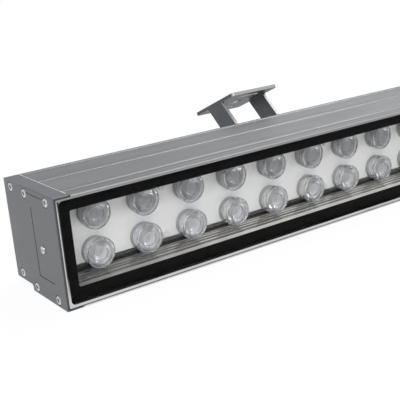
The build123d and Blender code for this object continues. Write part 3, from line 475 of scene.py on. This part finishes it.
def turned(centre, profile, segments):
    """A closed turned piece about an axis along Y: profile holds (radius, y) steps from the front's middle to
    the back's middle, and the rings are extruded one after the other."""
    deselect_all()
    x, z = centre
    radius, y = profile[0]
    bpy.ops.mesh.primitive_circle_add(vertices=segments, radius=radius, fill_type="NGON", location=(x, y, z),
                                      rotation=(math.radians(90), 0, 0))
    piece = bpy.context.object
    bpy.ops.object.transform_apply(location=True, rotation=True, scale=True)
    bpy.ops.object.mode_set(mode="EDIT")
    bpy.ops.mesh.select_mode(type="EDGE")
    bpy.ops.mesh.select_all(action="SELECT")
    bpy.ops.mesh.region_to_loop()
    for next_radius, next_y in profile[1:]:
        bpy.ops.mesh.extrude_edges_move(TRANSFORM_OT_translate={"value": (0, next_y - y, 0)})
        share = next_radius / radius
        bpy.ops.transform.resize(value=(share, 1, share), center_override=(x, next_y, z))
        radius, y = next_radius, next_y
    bpy.ops.mesh.edge_face_add()
    bpy.ops.mesh.select_all(action="SELECT")
    bpy.ops.mesh.normals_make_consistent(inside=False)
    bpy.ops.object.mode_set(mode="OBJECT")
    return piece


def copies_along_x(piece, count, pitch):
    """The piece and its copies, each with its own mesh, joined into one object."""
    row = [piece]
    for step in range(1, count):
        extra = piece.copy()
        extra.data = piece.data.copy()
        extra.data.transform(Matrix.Translation((step * pitch, 0, 0)))
        bpy.context.collection.objects.link(extra)
        row.append(extra)
    deselect_all()
    for member in row:
        member.select_set(True)
    bpy.context.view_layer.objects.active = piece
    bpy.ops.object.join()
    return piece


def softened_copy(node, name, material, body, width):
    """A copy of a CAD node with its sharp edges rounded."""
    piece = nodes[node].copy()
    piece.data = nodes[node].data.copy()
    bpy.context.collection.objects.link(piece)
    work_on(piece)
    bpy.ops.object.mode_set(mode="EDIT")
    bpy.ops.mesh.select_all(action="SELECT")
    bpy.ops.mesh.remove_doubles(threshold=1e-6)
    bpy.ops.mesh.dissolve_limited(angle_limit=math.radians(1))
    bpy.ops.object.mode_set(mode="OBJECT")
    rounding = piece.modifiers.new("rounding", "BEVEL")
    rounding.width = width
    rounding.segments = 2
    rounding.limit_method = "ANGLE"
    rounding.angle_limit = math.radians(40)
    bpy.ops.object.modifier_apply(modifier="rounding")
    bpy.ops.object.shade_smooth_by_angle(angle=math.radians(50))
    flats = piece.modifiers.new("flats", "WEIGHTED_NORMAL")
    flats.keep_sharp = True
    flats.weight = 100
    bpy.ops.object.modifier_apply(modifier="flats")
    return finish_piece(piece, name, material, body, (node,))


# ---------------------------------------------------------------- brackets
for side in SIDES:
    softened_copy(f"bracket_{side}", f"{side}_bracket", bracket_coat, f"bracket_{side}",
                  BRACKET_ROUNDING)


# ---------------------------------------------------------------- lenses
def lens_profile(front, back):
    """Dished front, raised rim, stepped skirt round an air gap, and the solid cone with its pocket over the
    emitter."""
    r = lens_radius
    return [
        (0.16 * r, front + 1.05 * MM), (0.40 * r, front + 1.1 * MM), (0.46 * r, front + 0.95 * MM),
        (0.52 * r, front + 0.42 * MM), (0.78 * r, front + 0.38 * MM), (0.84 * r, front + 0.12 * MM),
        (0.88 * r, front), (0.95 * r, front), (0.985 * r, front + 0.22 * MM), (r, front + 0.55 * MM),
        (r, front + 4.0 * MM), (0.985 * r, front + 4.3 * MM), (0.94 * r, front + 4.45 * MM),
        (0.94 * r, front + 4.9 * MM), (0.97 * r, front + 5.1 * MM), (0.97 * r, front + 6.4 * MM),
        (0.90 * r, front + 6.6 * MM), (0.90 * r, back), (0.82 * r, back),
        (0.82 * r, front + 2.4 * MM), (0.80 * r, front + 1.9 * MM), (0.76 * r, front + 1.9 * MM),
        (0.73 * r, front + 2.4 * MM), (0.62 * r, front + 4.2 * MM), (0.48 * r, front + 6.2 * MM),
        (0.34 * r, back - 0.1 * MM), (0.27 * r, back - 0.1 * MM), (0.24 * r, back - 3.2 * MM),
        (0.10 * r, back - 3.5 * MM),
    ]


def lens_row(name, node, low, high):
    centre = (low.x + lens_radius, (low.z + high.z) / 2)
    lens = turned(centre, lens_profile(low.y, high.y), LENS_SEGMENTS)
    row = copies_along_x(lens, LENS_COUNT, lens_pitch)
    return finish_piece(row, name, acrylic, "housing", (node,), smooth_angle=28)


lens_row("lower_lenses", "lenses_lower_row", lower_low, lower_high)
lens_row("upper_lenses", "lenses_upper_row", upper_low, upper_high)


# ---------------------------------------------------------------- floor, lamps, camera
def pale_floor(size=12, drop=0.2 * MM, fade_from=0.45, fade_to=1.5, near_glow=0.92):
    """A white floor that keeps a soft shadow near the light and glows fully white far off, so no line shows
    where it ends. Reflections and lenses see it white too."""
    deselect_all()
    bpy.ops.mesh.primitive_plane_add(size=size, location=(0, 0, -drop))
    floor = bpy.context.object
    floor.name = "floor"
    finish = Finish("white_floor", Roughness=0.9)
    finish.shader.inputs["Base Color"].default_value = (0.86, 0.86, 0.86, 1.0)
    glow = finish.node("Emission")
    glow.inputs["Color"].default_value = WHITE
    path = finish.node("LightPath")
    in_optics = finish.math("MAXIMUM", path.outputs["Is Glossy Ray"], path.outputs["Is Transmission Ray"])
    seen = finish.math("MAXIMUM", path.outputs["Is Camera Ray"], in_optics)
    distance = finish.node("VectorMath", operation="LENGTH")
    finish.join(finish.coordinates.outputs["Object"], distance.inputs[0])
    share = finish.spread(distance.outputs["Value"], fade_from, fade_to, near_glow, 1.0)
    finish.show(finish.times(seen, share), finish.shader.outputs["BSDF"], glow.outputs["Emission"])
    floor.data.materials.append(finish.material)


def studio_world(strength=0.55):
    """A soft even light, seen as white by the camera and through the lenses."""
    world = bpy.data.worlds.new("studio")
    bpy.context.scene.world = world
    world.use_nodes = True
    tree = world.node_tree
    tree.nodes.clear()
    output = tree.nodes.new("ShaderNodeOutputWorld")
    light = tree.nodes.new("ShaderNodeBackground")
    light.inputs["Color"].default_value = WHITE
    light.inputs["Strength"].default_value = strength
    white = tree.nodes.new("ShaderNodeBackground")
    white.inputs["Color"].default_value = WHITE
    white.inputs["Strength"].default_value = 1.0
    path = tree.nodes.new("ShaderNodeLightPath")
    mix = tree.nodes.new("ShaderNodeMixShader")
    seen = tree.nodes.new("ShaderNodeMath")
    seen.operation = "MAXIMUM"
    tree.links.new(path.outputs["Is Camera Ray"], seen.inputs[0])
    tree.links.new(path.outputs["Is Transmission Ray"], seen.inputs[1])
    tree.links.new(seen.outputs["Value"], mix.inputs["Fac"])
    tree.links.new(light.outputs["Background"], mix.inputs[1])
    tree.links.new(white.outputs["Background"], mix.inputs[2])
    tree.links.new(mix.outputs["Shader"], output.inputs["Surface"])


def softbox(name, place, aim, size, watts):
    data = bpy.data.lights.new(name, "AREA")
    data.shape = "RECTANGLE"
    data.size, data.size_y = size
    data.energy = watts
    lamp = bpy.data.objects.new(name, data)
    bpy.context.scene.collection.objects.link(lamp)
    lamp.location = place
    direction = Vector(aim) - Vector(place)
    lamp.rotation_euler = direction.to_track_quat("-Z", "Y").to_euler()


def photo_camera(focal_pixels=851.784, photo_pixels=400):
    """The photograph's camera, fitted to the edges of the light."""
    data = bpy.data.cameras.new("photo_camera")
    camera = bpy.data.objects.new("photo_camera", data)
    bpy.context.scene.collection.objects.link(camera)
    data.sensor_width = 36.0
    data.lens = focal_pixels / photo_pixels * data.sensor_width
    data.clip_start = 0.01
    right = Vector((0.81580311, -0.57223439, -0.0837442))
    up = Vector((0.23044761, 0.18883665, 0.9545861))
    back = Vector((-0.53043302, -0.79805295, 0.28592357))
    turn = Matrix((right, up, back)).transposed().to_4x4()
    camera.matrix_world = Matrix.Translation((-0.720984, -0.569154, 0.225905)) @ turn
    bpy.context.scene.camera = camera


pale_floor()
studio_world()
softbox("key", place=(-1.1, -1.3, 1.4), aim=(-0.2, 0, 0.05), size=(1.2, 1.2), watts=29)
softbox("top", place=(0.8, 0.4, 1.6), aim=(0.2, 0, 0.05), size=(1.4, 1.0), watts=27)
photo_camera()
bpy.context.scene.view_settings.view_transform = "Standard"
